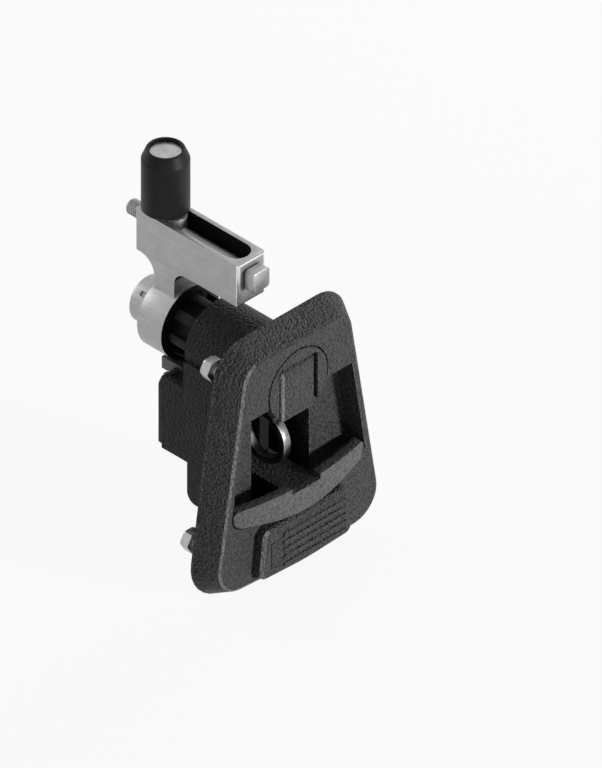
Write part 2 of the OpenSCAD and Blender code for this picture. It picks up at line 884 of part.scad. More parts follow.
module roller_carrier() {
    color("lightgray")
        difference() {
            union() {
                translate([0, 0, carrier_low])
                    linear_extrude(arm_top - carrier_low + 0.4)
                        slot_outline(carrier_r, carrier_front, carrier_rear);
                translate([0, roller_y, arm_top + 0.3])
                    cylinder(r = roller_r - 1.6, h = roller_low - arm_top - 0.6);
            }
            translate([0, 0, screw_z])
                rod_y(screw_r + run, carrier_front - carrier_r - over, carrier_rear + carrier_r + over);
            translate([0, roller_y, screw_z + screw_r + 1])
                cylinder(r = roller_pin_r + seat, h = 10);
        }
}

module roller_pin() {
    color("silver")
        translate([0, roller_y, 0]) {
            translate([0, 0, screw_z + screw_r + 1.2])
                cylinder(r = roller_pin_r, h = pin_head_z - screw_z - screw_r - 1);
            translate([0, 0, pin_head_z])
                cylinder(r = pin_head_r, h = pin_head_t);
        }
}

module roller() {
    bore = roller_pin_r + run;
    cup = pin_head_r + 0.15;
    color("#1c1c1e")
        translate([0, roller_y, 0])
            rotate_extrude($fn = 96)
                polygon(rounded([
                    [bore, roller_low, 0],
                    [roller_r, roller_low, 0.8],
                    [roller_r, roller_cone_z, 2],
                    [roller_top_r, roller_top, 0.8],
                    [cup, roller_top, 0],
                    [cup, pin_head_z - 0.2, 0],
                    [bore, pin_head_z - 0.2, 0]], 4));
}

module release_button() {
    edge = 1.4;
    rib_right = 24;
    rib_left = -14;
    rib_top = -button_top - 3.6;
    color("#4a4a4c")
        difference() {
            union() {
                slab_y(front - button_proud + edge, button_back)
                    polygon(button_outline(0));
                hull() {
                    slab_y(front - button_proud + edge, front - button_proud + edge + eps)
                        polygon(button_outline(0));
                    slab_y(front - button_proud, front - button_proud + edge)
                        polygon(button_outline(-edge));
                }
                for (i = [0:rib_count - 1])
                    translate([0, 0, rib_top - i * rib_pitch])
                        slab_y(front - button_proud - rib_h, front - button_proud + eps)
                            rib_outline(rib_left, rib_right);
                translate([0, 0, button_mid_z])
                    rod_y(2.4, button_back - eps, button_back + 4);
            }
            for (low = [[-22.9, -7, 0.7, 14], [-22.9, -7, 3.4, 0.7], [-22.9, 6.3, 3.4, 0.7]])
                box([low[0], front - button_proud - over, button_mid_z + low[1]],
                    [low[0] + low[2], front - button_proud + 0.5, button_mid_z + low[1] + low[3]]);
        }
}

module rib_outline(left, right) {
    translate([left, -rib_w])
        square([right - left, rib_w]);
    translate([left, -rib_w / 2])
        circle(r = rib_w / 2);
    translate([right, -rib_w / 2])
        circle(r = rib_w / 2);
}

module button_spring() {
    color("silver")
        translate([0, button_back + 0.2, button_mid_z])
            rotate([-90, 0, 0])
                coil(3.6, 0.45, 5, spring_well_y - button_back - 0.4);
}

bezel();
housing();
rear_cover();
cover_screws();
mounting_studs();
stud_nuts();
padlock_eye();
stop_bracket();
bearing_collar();
bearing_bush();
lock_body();
lever_pivot_pin();
lever_return_spring();
t_handle();
drive_pin();
drive_slide();
cam_shaft();
crank_pin();
cam_arm();
cam_nut();
adjusting_screw();
roller_carrier();
roller_pin();
roller();
key_cover();
key_plug();
release_button();
button_spring();
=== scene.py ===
"""Recessed pull-handle cam latch, dressed for a studio view.

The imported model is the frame. Every piece here is a finished copy of one of its nodes or a new
piece that stands in the place of one, and rides on the same body.
"""

import json
import math

import bmesh
import bpy
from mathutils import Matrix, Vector


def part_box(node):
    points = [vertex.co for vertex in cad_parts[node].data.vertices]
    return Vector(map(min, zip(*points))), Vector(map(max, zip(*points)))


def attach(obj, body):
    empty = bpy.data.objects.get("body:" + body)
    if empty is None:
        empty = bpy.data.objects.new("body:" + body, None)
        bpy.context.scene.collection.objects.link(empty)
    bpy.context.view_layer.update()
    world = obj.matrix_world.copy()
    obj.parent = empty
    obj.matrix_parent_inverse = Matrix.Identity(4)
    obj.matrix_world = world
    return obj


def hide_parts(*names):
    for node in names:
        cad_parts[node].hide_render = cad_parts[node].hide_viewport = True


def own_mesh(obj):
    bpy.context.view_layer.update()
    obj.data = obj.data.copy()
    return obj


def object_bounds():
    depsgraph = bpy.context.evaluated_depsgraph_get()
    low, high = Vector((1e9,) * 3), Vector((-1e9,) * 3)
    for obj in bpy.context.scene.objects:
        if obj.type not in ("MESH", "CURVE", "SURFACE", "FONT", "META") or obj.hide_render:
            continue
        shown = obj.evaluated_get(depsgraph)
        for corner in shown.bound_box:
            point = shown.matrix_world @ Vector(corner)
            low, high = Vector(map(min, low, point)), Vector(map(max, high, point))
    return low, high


bl_info = {
    "name": "Cam latch",
    "version": (1, 0, 0),
    "blender": (4, 5, 0),
    "location": "View3D > Sidebar > Latch",
    "description": "Dresses a recessed pull-handle cam latch for a studio view",
    "category": "Object",
}

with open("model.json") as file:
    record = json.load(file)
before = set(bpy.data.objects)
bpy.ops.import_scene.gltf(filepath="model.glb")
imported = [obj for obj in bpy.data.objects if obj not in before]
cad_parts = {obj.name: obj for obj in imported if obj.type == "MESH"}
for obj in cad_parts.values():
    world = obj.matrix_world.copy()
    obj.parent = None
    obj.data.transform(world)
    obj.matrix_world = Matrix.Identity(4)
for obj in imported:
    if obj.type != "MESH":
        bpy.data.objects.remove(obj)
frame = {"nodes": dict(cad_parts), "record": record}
CAD_BOX = [list(corner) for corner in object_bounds()]

MM = 0.001
UPPER_STUD_X = 29.9 * MM
FLOOR_WHITE = 0.91  # how much of the floor the camera sees as plain white
WORLD_LEVEL = 0.07  # the world's light on the object
BODIES = frame["record"]["behaviour"]["bodies"]
BODY_OF = {node: body for body, nodes in BODIES.items() for node in nodes}
SLOT_OF = {row["node"]: row["material_slot"] for row in frame["record"]["subparts"]}


class LatchSizes(bpy.types.PropertyGroup):
    """Sizes of the finish that the frame leaves open."""

    coat_grain: bpy.props.FloatProperty(
        name="Coat grain", description="Size of one grain of the powder coat",
        default=0.0006, unit="LENGTH")
    coat_height: bpy.props.FloatProperty(
        name="Coat height", description="Height of the grain",
        default=0.0028, unit="LENGTH")
    cast_edge: bpy.props.FloatProperty(
        name="Cast edge", description="Rounding of the coated castings' edges",
        default=0.0009, unit="LENGTH")
    steel_edge: bpy.props.FloatProperty(
        name="Steel edge", description="Rounding of the steel pieces' edges",
        default=0.0004, unit="LENGTH")
    screw_pitch: bpy.props.FloatProperty(
        name="Screw pitch", description="Pitch of the adjusting screw",
        default=0.00125, unit="LENGTH")
    stud_pitch: bpy.props.FloatProperty(
        name="Stud pitch", description="Pitch of the mounting studs",
        default=0.001, unit="LENGTH")
    thread_depth: bpy.props.FloatProperty(
        name="Thread depth", description="Depth of a thread as a share of its pitch",
        default=0.5, min=0.2, max=0.6)
    view_height: bpy.props.FloatProperty(
        name="View height", description="Height of the view across the camera",
        default=0.3456, unit="LENGTH")
    view_right: bpy.props.FloatProperty(
        name="View right", description="Middle of the view right of the cam axis",
        default=-0.0011, unit="LENGTH")
    view_up: bpy.props.FloatProperty(
        name="View up", description="Middle of the view above the lock's front",
        default=0.0, unit="LENGTH")


class LatchColours(bpy.types.PropertyGroup):
    """Colours of the finishes."""

    coat: bpy.props.FloatVectorProperty(
        name="Powder coat", description="Coarse black coat",
        size=3, subtype="COLOR", default=(0.064, 0.064, 0.065))
    # A lighter coat for the outer edges that lean left or down: a painted highlight.
    edge_highlight: bpy.props.FloatVectorProperty(
        name="Edge highlight coat", description="Coat on the outer edges",
        size=3, subtype="COLOR", default=(0.155, 0.155, 0.157))
    # The bar's coat is lighter than the plain coat as a painted highlight; its grain is also smoother.
    handle: bpy.props.FloatVectorProperty(
        name="Handle", description="Coat of the pull handle's bar, worn smooth",
        size=3, subtype="COLOR", default=(0.095, 0.095, 0.096))
    housing: bpy.props.FloatVectorProperty(
        name="Housing", description="Finer black coat of the housing",
        size=3, subtype="COLOR", default=(0.012, 0.012, 0.0125))
    cover: bpy.props.FloatVectorProperty(
        name="Rear cover", description="Dark grey cover",
        size=3, subtype="COLOR", default=(0.045, 0.045, 0.046))
    arm: bpy.props.FloatVectorProperty(
        name="Arm steel", description="Satin steel of the arm",
        size=3, subtype="COLOR", default=(0.36, 0.36, 0.36))
    bright: bpy.props.FloatVectorProperty(
        name="Bright steel", description="Zinc-plated steel",
        size=3, subtype="COLOR", default=(0.42, 0.42, 0.42))
    bracket: bpy.props.FloatVectorProperty(
        name="Bracket", description="Dull plated sheet",
        size=3, subtype="COLOR", default=(0.085, 0.085, 0.087))
    bronze: bpy.props.FloatVectorProperty(
        name="Bronze", description="Bearing bush",
        size=3, subtype="COLOR", default=(0.38, 0.24, 0.1))
    roller: bpy.props.FloatVectorProperty(
        name="Roller", description="Smooth black roller",
        size=3, subtype="COLOR", default=(0.012, 0.012, 0.013))
    floor: bpy.props.FloatVectorProperty(
        name="Floor", description="Pale floor",
        size=3, subtype="COLOR", default=(0.9, 0.9, 0.9))


class Wire:
    """An output socket that takes part in plain arithmetic and adds its Math nodes."""

    def __init__(self, wiring, socket):
        self.wiring = wiring
        self.socket = socket

    def _math(self, operation, first, second):
        return self.wiring.node("ShaderNodeMath", {"operation": operation}, {0: first, 1: second})

    def __add__(self, other):
        return self._math("ADD", self, other)

    def __radd__(self, other):
        return self._math("ADD", other, self)

    def __sub__(self, other):
        return self._math("SUBTRACT", self, other)

    def __rsub__(self, other):
        return self._math("SUBTRACT", other, self)

    def __mul__(self, other):
        return self._math("MULTIPLY", self, other)

    def __rmul__(self, other):
        return self._math("MULTIPLY", other, self)


class Wiring:
    """A node tree, wired up step by step."""

    def __init__(self, tree):
        self.tree = tree
        self.tree.nodes.clear()

    def node(self, kind, settings, values, output=0):
        """Adds a node, sets it up and returns one of its outputs as a wire, or else the node."""
        node = self.tree.nodes.new(kind)
        for name, value in settings.items():
            if name == "stops":
                self.set_stops(node.color_ramp, value)
            else:
                setattr(node, name, value)
        for name, value in values.items():
            if isinstance(value, Wire):
                self.tree.links.new(value.socket, node.inputs[name])
            else:
                node.inputs[name].default_value = value
        return node if output is None else Wire(self, node.outputs[output])

    @staticmethod
    def set_stops(ramp, stops):
        """Sets a colour ramp to a list of (position, grey level) stops."""
        while len(ramp.elements) < len(stops):
            ramp.elements.new(1.0)
        for element, (position, level) in zip(ramp.elements, stops):
            element.position = position
            element.color = (level, level, level, 1)

    def seen(self):
        """1 for the rays by which the camera, gloss and clear materials see a surface, else 0."""
        camera = self.node("ShaderNodeLightPath", {}, {}, output="Is Camera Ray")
        gloss = Wire(self, camera.socket.node.outputs["Is Glossy Ray"])
        clear = Wire(self, camera.socket.node.outputs["Is Transmission Ray"])
        settings = {"operation": "ADD", "use_clamp": True}
        return self.node("ShaderNodeMath", settings, {0: camera + gloss, 1: clear})


class Paint(Wiring):
    """A material with one Principled shader."""

    def __init__(self, name, **values):
        self.material = bpy.data.materials.new(name)
        self.material.use_nodes = True
        super().__init__(self.material.node_tree)
        self.lit = self.node("ShaderNodeBsdfPrincipled", {}, values)
        self.shader = self.lit.socket.node
        self.end = self.node("ShaderNodeOutputMaterial", {}, {"Surface": self.lit}, output=None)
        self.place = self.node("ShaderNodeTexCoord", {}, {}, output="Object")

    def feed(self, name, wire):
        """Links a wire to a socket of the shader."""
        self.tree.links.new(wire.socket, self.shader.inputs[name])

    def noise(self, size, detail=3.0, stretch=(1, 1, 1)):
        """Noise with features of the given size in metres, longer along the stretched axes."""
        scale = tuple(1 / side for side in stretch)
        spot = self.node("ShaderNodeMapping", {}, {"Vector": self.place, "Scale": scale})
        return self.node("ShaderNodeTexNoise", {}, {"Vector": spot, "Scale": 1 / size, "Detail": detail})

    def cells(self, size):
        """Rounded cells of the given size in metres."""
        settings = {"feature": "SMOOTH_F1"}
        return self.node("ShaderNodeTexVoronoi", settings, {"Vector": self.place, "Scale": 1 / size})

    def ramp(self, wire, stops):
        """A level taken from a wire through a list of stops."""
        return self.node("ShaderNodeValToRGB", {"stops": stops}, {"Fac": wire})

    def tint(self, wire, dark, light):
        """A colour between two others, as the wire goes from 0 to 1."""
        settings = {"data_type": "RGBA"}
        return self.node("ShaderNodeMix", settings, {0: wire, 6: (*dark, 1), 7: (*light, 1)}, output=2)

    def finish_with(self, wire):
        """Links a wire to the surface of the material."""
        self.tree.links.new(wire.socket, self.end.inputs["Surface"])

    def bump(self, wire, height, strength=1.0):
        """Raises the surface by the wire."""
        values = {"Height": wire, "Distance": height, "Strength": strength}
        self.feed("Normal", self.node("ShaderNodeBump", {}, values))


def shade(colour, factor):
    """A colour made darker or lighter."""
    return tuple(min(1.0, part * factor) for part in colour)


def powder_coat(name, colour, sizes, smooth=1.0):
    """Coarse black powder coat: fine grain, broader patches and a little gloss on its tops."""
    paint = Paint(name, Metallic=0.0, **{"Specular IOR Level": 0.1})
    fine = paint.noise(sizes.coat_grain, 1.0)
    broad = paint.noise(sizes.coat_grain * 9, 2.0)
    grain = paint.cells(sizes.coat_grain * 1.9)
    height = fine * 0.35 + (1 - grain) * 0.65
    level = paint.ramp(height * 0.9 + broad * 0.1, [(0.34, 0.0), (0.74, 1.0)])
    paint.feed("Base Color", paint.tint(level, shade(colour, 0.6), shade(colour, 1.4)))
    paint.feed("Roughness", 0.52 - level * 0.12)
    paint.bump(height, sizes.coat_height, smooth)
    return paint.material


def satin_black(name, colour, sizes):
    """Smooth satin black with faint orange peel."""
    paint = Paint(name, Metallic=0.0, **{"Specular IOR Level": 0.1})
    peel = paint.noise(1.2 * MM, 2.0)
    cloud = paint.noise(12 * MM, 3.0)
    paint.feed("Base Color", paint.tint(cloud, shade(colour, 0.7), shade(colour, 1.4)))
    paint.feed("Roughness", 0.36 + cloud * 0.18)
    paint.bump(peel, 0.35 * MM, 0.8)
    return paint.material


def brushed(name, colour, along, roughness):
    """Brushed steel, its lines running along one axis: 0 is X, 1 is Y and 2 is Z."""
    paint = Paint(name, Metallic=0.92, **{"Specular IOR Level": 0.5})
    stretch = [1, 1, 1]
    stretch[along] = 45
    lines = paint.noise(0.35 * MM, 3.0, stretch)
    cloud = paint.noise(9 * MM, 3.0)
    level = paint.ramp(lines * 0.65 + cloud * 0.35, [(0.3, 0.0), (0.7, 1.0)])
    paint.feed("Base Color", paint.tint(level, shade(colour, 0.78), shade(colour, 1.2)))
    paint.feed("Roughness", roughness - 0.1 + level * 0.2)
    paint.bump(lines, 0.04 * MM, 0.5)
    return paint.material


def zinc(name, colour):
    """Bright zinc plate, slightly clouded."""
    paint = Paint(name, Metallic=1.0, **{"Specular IOR Level": 0.5})
    cloud = paint.noise(4 * MM, 4.0)
    speck = paint.noise(0.4 * MM, 2.0)
    level = paint.ramp(cloud * 0.7 + speck * 0.3, [(0.32, 0.0), (0.68, 1.0)])
    paint.feed("Base Color", paint.tint(level, shade(colour, 0.82), shade(colour, 1.15)))
    paint.feed("Roughness", 0.22 + level * 0.16)
    paint.bump(speck, 0.02 * MM, 0.4)
    return paint.material


def moulded_black(name, colour):
    """Smooth black roller, with a soft sheen and faint turning marks."""
    paint = Paint(name, Metallic=0.0, **{"Specular IOR Level": 0.12})
    rings = paint.noise(0.5 * MM, 2.0, (30, 30, 1))
    cloud = paint.noise(8 * MM, 2.0)
    paint.feed("Base Color", paint.tint(cloud, shade(colour, 0.7), shade(colour, 1.6)))
    paint.feed("Roughness", 0.4 + rings * 0.16)
    paint.bump(rings, 0.03 * MM, 0.4)
    return paint.material


def finishes():
    """The materials by name, made once."""
    store = bpy.context.scene.get("latch_finishes")
    if store:
        return {name: bpy.data.materials[made] for name, made in store.items()}
    sizes = bpy.context.scene.latch_sizes
    colours = bpy.context.scene.latch_colours
    made = {
        "black_coat": powder_coat("black_coat", colours.coat, sizes),
        # painted highlight on the outer edges
        "edge_highlight_coat": powder_coat("edge_highlight_coat", colours.edge_highlight, sizes, 0.5),
        # painted highlight on the handle's bar
        "highlit_handle_coat": powder_coat("highlit_handle_coat", colours.handle, sizes, 0.35),
        "housing_black": powder_coat("housing_black", colours.housing, sizes, 0.6),
        "cover_dark": satin_black("cover_dark", colours.cover, sizes),
        "cam_steel": brushed("cam_steel", colours.arm, 1, 0.42),
        # near-black on the lock body's edges: painted shade in the gap round it
        "gap_painted_shade": satin_black("gap_painted_shade", shade(colours.housing, 0.4), sizes),
        # the bright zinc darkened for the padlock eye: painted shade
        "shaded_eye_zinc": zinc("shaded_eye_zinc", shade(colours.bright, 0.42)),
        # a lighter copy of the arm's steel: painted highlight on its edges and nose
        "cam_highlight": brushed("cam_highlight", shade(colours.arm, 2.1), 1, 0.3),
        "bracket_grey": brushed("bracket_grey", colours.bracket, 0, 0.5),
        # the housing's near-black: painted shade in the arm's slot, under the arm and on the eye's stem;
        # on the collar also its own black
        "black_and_painted_shade": satin_black("black_and_painted_shade", colours.housing, sizes),
        "bright_steel": zinc("bright_steel", colours.bright),
        "bronze": zinc("bronze", colours.bronze),
        "roller_black": moulded_black("roller_black", colours.roller),
    }
    bpy.context.scene["latch_finishes"] = {name: made[name].name for name in made}
    return made


def only(piece):
    """Selects one object and nothing else."""
    bpy.ops.object.select_all(action="DESELECT")
    piece.select_set(True)
    bpy.context.view_layer.objects.active = piece


def set_finish(piece, slot):
    """Gives a piece the material of one of the record's slots."""
    piece.data.materials.clear()
    piece.data.materials.append(finishes()[slot])


def stand_for(piece, node):
    """Puts a piece in the place of a node, on its body and with its finish."""
    set_finish(piece, SLOT_OF[node])
    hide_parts(node)
    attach(piece, BODY_OF[node])


def apply_modifier(piece, kind, **settings):
    """Adds a modifier, sets it up and applies it."""
    modifier = piece.modifiers.new(kind.lower(), kind)
    for name, value in settings.items():
        setattr(modifier, name, value)
    only(piece)
    bpy.ops.object.modifier_apply(modifier=modifier.name)


def eased_copy(node, width, segments=3, angle=32):
    """A copy of a node with its triangles joined and its edges rounded.

    The faces of the rounded edges are in the second material slot, which holds the same finish at first.
    """
    source = frame["nodes"][node]
    piece = bpy.data.objects.new(node + "_finished", source.data.copy())
    bpy.context.scene.collection.objects.link(piece)
    only(piece)
    bpy.ops.mesh.customdata_custom_splitnormals_clear()
    bpy.ops.object.mode_set(mode="EDIT")
    bpy.ops.mesh.select_all(action="SELECT")
    bpy.ops.mesh.remove_doubles(threshold=2e-6)
    bpy.ops.mesh.dissolve_limited(angle_limit=math.radians(0.6))
    bpy.ops.object.mode_set(mode="OBJECT")
    stand_for(piece, node)
    piece.data.materials.append(piece.data.materials[0])
    apply_modifier(piece, "BEVEL", width=width, segments=segments, limit_method="ANGLE", material=1,
                   angle_limit=math.radians(angle), use_clamp_overlap=True, miter_outer="MITER_ARC")
    smooth_shading(piece)
    return piece


def paint_edge_light(piece, finish="edge_highlight_coat", slant=None):
    """Paints light or shade on a piece's rounded outer edges with the given finish, a painted highlight
    by default, and leaves its inner corners alone.

    With slant, only what leans to the left or down gets the painted highlight, and so do the chamfers
    there that turn to the front by at least as much as slant says.
    """
    left_lean, down_lean, flat_front = 0.15, 0.3, 0.97
    piece.data.materials[1] = finishes()[finish]
    mesh = bmesh.new()
    mesh.from_mesh(piece.data)
    for face in mesh.faces:
        bend = sum(edge.calc_face_angle_signed(0) for edge in face.edges)
        if face.material_index == 1 and bend <= 0:
            face.material_index = 0
        # with slant, the painted highlight stays on the edges that lean left or down, where the light
        # catches them
        if slant is not None:
            if face.normal.x >= -left_lean and face.normal.z >= -down_lean:
                face.material_index = 0
            elif slant < -face.normal.y < flat_front:
                face.material_index = 1
    mesh.to_mesh(piece.data)
    mesh.free()
    return piece


def turned(name, rings, centre, vertices):
    """A piece turned on a lathe along Y: a ring is drawn out through (radius, place) pairs."""
    radius, place = rings[0]
    bpy.ops.object.select_all(action="DESELECT")
    bpy.ops.mesh.primitive_circle_add(vertices=vertices, radius=radius, fill_type="NOTHING")
    piece = bpy.context.object
    piece.name = name
    piece.data.name = name
    bpy.ops.object.mode_set(mode="EDIT")
    bpy.ops.transform.translate(value=(0, 0, place))
    for next_radius, next_place in rings[1:]:
        bpy.ops.mesh.extrude_region_move(
            TRANSFORM_OT_translate={"value": (0, 0, next_place - place)})
        scale = next_radius / radius
        bpy.ops.transform.resize(value=(scale, scale, 1), center_override=(0, 0, next_place))
        radius, place = next_radius, next_place
    bpy.ops.object.mode_set(mode="OBJECT")
    piece.rotation_euler = (-math.pi / 2, 0, 0)
    piece.location = centre
    only(piece)
    bpy.ops.object.transform_apply(location=True, rotation=True, scale=True)
    return piece


def close_and_face_out(piece):
    """Caps the open rings, merges doubles and turns the faces outwards."""
    only(piece)
    bpy.ops.object.mode_set(mode="EDIT")
    bpy.ops.mesh.select_mode(type="EDGE")
    bpy.ops.mesh.select_all(action="SELECT")
    bpy.ops.mesh.remove_doubles(threshold=1e-6)
    bpy.ops.mesh.select_all(action="DESELECT")
    bpy.ops.mesh.select_non_manifold(extend=False)
    bpy.ops.mesh.fill_holes(sides=0)
    bpy.ops.mesh.select_all(action="SELECT")
    bpy.ops.mesh.normals_make_consistent(inside=False)
    bpy.ops.object.mode_set(mode="OBJECT")


def smooth_shading(piece, angle=35):
    """Smooths a piece's shading, up to an angle."""
    only(piece)
    bpy.ops.object.shade_smooth_by_angle(angle=math.radians(angle))


def soften(piece, width):
    """Rounds the edges of a new piece and smooths its shading."""
    apply_modifier(piece, "BEVEL", width=width, segments=3, limit_method="ANGLE",
                   angle_limit=math.radians(30), use_clamp_overlap=True)
    smooth_shading(piece)


def thread_rings(radius, pitch, depth, start, stop):
    """Rings of a screw thread, as crests and roots along the axis, within the plain shank."""
    half_crest = 0.12
    rings = []
    for turn in range(int((stop - start) / pitch)):
        low = start + turn * pitch
        rings += [(radius, low + half_crest * pitch), (radius - depth * pitch, low + 0.5 * pitch),
                  (radius, low + (1 - half_crest) * pitch)]
    return rings


def joined(pieces, name):
    """Several pieces made one."""
    bpy.ops.object.select_all(action="DESELECT")
    for piece in pieces:
        piece.select_set(True)
    bpy.context.view_layer.objects.active = pieces[0]
    bpy.ops.object.join()
    bpy.context.object.name = name
    return bpy.context.object


def copied_to(piece, shifts):
    """Copies of a piece, each with its own mesh, moved by the given shifts."""
    copies = []
    for shift in shifts:
        only(piece)
        bpy.ops.object.duplicate(linked=False)
        bpy.ops.transform.translate(value=shift)
        bpy.ops.object.transform_apply(location=True, rotation=True, scale=True)
        copies.append(bpy.context.object)
    bpy.data.objects.remove(piece)
    return copies


def coil_spring(node, mean, wire, turns, axis):
    """A coil spring that fills a node's box along an axis, drawn out of a ring by a screw."""
    low, high = (Vector(corner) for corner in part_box(node))
    length = (high - low)["XYZ".index(axis)]
    bpy.ops.object.select_all(action="DESELECT")
    bpy.ops.mesh.primitive_circle_add(vertices=14, radius=wire)
    ring = bpy.context.object
    ring.name = node + "_finished"
    bpy.ops.object.mode_set(mode="EDIT")
    bpy.ops.transform.rotate(value=math.pi / 2, orient_axis="X", center_override=(0, 0, 0))
    bpy.ops.transform.translate(value=(mean, 0, wire))
    bpy.ops.object.mode_set(mode="OBJECT")
    apply_modifier(ring, "SCREW", angle=2 * math.pi, screw_offset=(length - 2 * wire) / turns,
                   iterations=turns, steps=32, render_steps=32, use_smooth_shade=True)
    if axis == "X":
        ring.rotation_euler = (0, math.pi / 2, 0)
        ring.location = (low.x, (low.y + high.y) / 2, (low.z + high.z) / 2)
    else:
        ring.rotation_euler = (-math.pi / 2, 0, 0)
        ring.location = ((low.x + high.x) / 2, low.y, (low.z + high.z) / 2)
    only(ring)
    bpy.ops.object.transform_apply(location=True, rotation=True, scale=True)
    close_and_face_out(ring)
    smooth_shading(ring)
    stand_for(ring, node)
    return ring


class LATCH_OT_stage(bpy.types.Operator):
    """Make the floor, the lamps and the camera"""

    bl_idname = "latch.stage"
    bl_label = "Stage"

    def execute(self, context):
        self.make_floor(context)
        self.make_lamps()
        self.make_world(context)
        self.make_camera(context)
        return {"FINISHED"}

    def make_floor(self, context):
        bpy.ops.object.select_all(action="DESELECT")
        bpy.ops.mesh.primitive_plane_add(size=6, location=(0, 0, CAD_BOX[0][2] - 0.4 * MM))
        floor = context.object
        floor.name = "floor"
        colour = (*context.scene.latch_colours.floor, 1)
        paint = Paint("floor_paint", Roughness=0.9, **{"Base Color": colour})
        white = paint.node("ShaderNodeEmission", {}, {"Color": (1, 1, 1, 1), "Strength": 1.0})
        share = paint.seen() * FLOOR_WHITE
        paint.finish_with(paint.node("ShaderNodeMixShader", {}, {0: share, 1: paint.lit, 2: white}))
        floor.data.materials.append(paint.material)

    def make_lamps(self):
        """Each lamp has its name, place and size in metres, and its power in watts."""
        lamps = (
            ("key", (0.32, -1.05, 0.13), 0.2, 12.4),
            ("left", (-1.0, -0.15, 0.3), 0.4, 0.12),
            ("right", (0.85, 0.3, 0.35), 0.5, 2.6),
            ("top", (-0.15, 0.2, 1.1), 0.5, 0.7),
            ("back", (-0.3, 1.0, 0.35), 0.5, 3.6),
        )
        target = Vector((0, 0.02, 0))
        for name, place, size, power in lamps:
            data = bpy.data.lights.new(name, "AREA")
            data.shape = "DISK"
            data.size = size
            data.energy = power
            lamp = bpy.data.objects.new(name, data)
            lamp.location = place
            lamp.rotation_euler = (target - Vector(place)).to_track_quat("-Z", "Y").to_euler()
            bpy.context.scene.collection.objects.link(lamp)

    def make_world(self, context):
        world = bpy.data.worlds.new("studio")
        world.use_nodes = True
        wiring = Wiring(world.node_tree)
        level = WORLD_LEVEL + wiring.seen() * (1 - WORLD_LEVEL)
        values = {"Color": (1, 1, 1, 1), "Strength": level}
        light = wiring.node("ShaderNodeBackground", {}, values)
        wiring.node("ShaderNodeOutputWorld", {}, {"Surface": light}, output=None)
        context.scene.world = world

    def make_camera(self, context):
        """The camera looks at equal angles to the three axes, with no perspective."""
        sizes = context.scene.latch_sizes
        distance = 1.5
        back = Vector((-1, -1, 1)).normalized()
        right = Vector((1, -1, 0)).normalized()
        up = back.cross(right)
        lock_front = Vector((0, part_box("bezel")[0][1], 0))
        data = bpy.data.cameras.new("camera")
        data.type = "ORTHO"
        data.ortho_scale = sizes.view_height
        data.clip_end = 20
        camera = bpy.data.objects.new("camera", data)
        camera.location = lock_front - right * sizes.view_right + up * sizes.view_up + back * distance
        camera.rotation_euler = back.to_track_quat("Z", "Y").to_euler()
        context.scene.collection.objects.link(camera)
        context.scene.camera = camera


class LATCH_OT_castings(bpy.types.Operator):
    """Finish the coated castings: bezel, lock body, key cover, pull handle and release button"""

    bl_idname = "latch.castings"
    bl_label = "Coated castings"

    def execute(self, context):
        edge = context.scene.latch_sizes.cast_edge
        # The bezel, key cover and button get a painted highlight on their left and lower edges; the lock
        # body's edges get painted shade for the gap round it.
        paint_edge_light(eased_copy("bezel", edge * 1.6, 4, angle=24), slant=0.6)
        paint_edge_light(eased_copy("lock_body", edge * 0.9), "gap_painted_shade")
        paint_edge_light(eased_copy("key_cover", edge * 0.7), slant=0.4)
        paint_edge_light(eased_copy("release_button", edge * 0.45), slant=0.4)
        self.finish_handle(eased_copy("t_handle", edge * 1.2, 4))
        return {"FINISHED"}

    def finish_handle(self, handle):
        """The bar's coat is smoother and lighter, the lighter colour a painted highlight; the neck keeps
        its coat; and the legs, deep in the recess, are as black as the housing, a painted shade.
        """
        bar_back = -7.6 * MM
        leg_front = 14 * MM
        handle.data.materials[1] = finishes()["highlit_handle_coat"]
        handle.data.materials.append(finishes()["housing_black"])
        for face in handle.data.polygons:
            if face.center.y < bar_back:
                face.material_index = 1
            elif face.center.y < leg_front:
                face.material_index = 0
            else:
                # the legs, deep in the recess, get the housing's near-black: painted shade
                face.material_index = 2


class LATCH_OT_housing(bpy.types.Operator):
    """Finish the housing, its cover, its collar and the stop bracket"""

    bl_idname = "latch.housing"
    bl_label = "Housing"

    def execute(self, context):
        edge = context.scene.latch_sizes.steel_edge
        eased_copy("housing", edge * 1.5)
        eased_copy("rear_cover", edge)
        collar = eased_copy("bearing_collar", edge)
        # The collar is a black part; this near-black on it also paints the shade under the arm.
        for index in range(2):
            collar.data.materials[index] = finishes()["black_and_painted_shade"]
        eased_copy("stop_bracket", edge * 0.8)
        return {"FINISHED"}


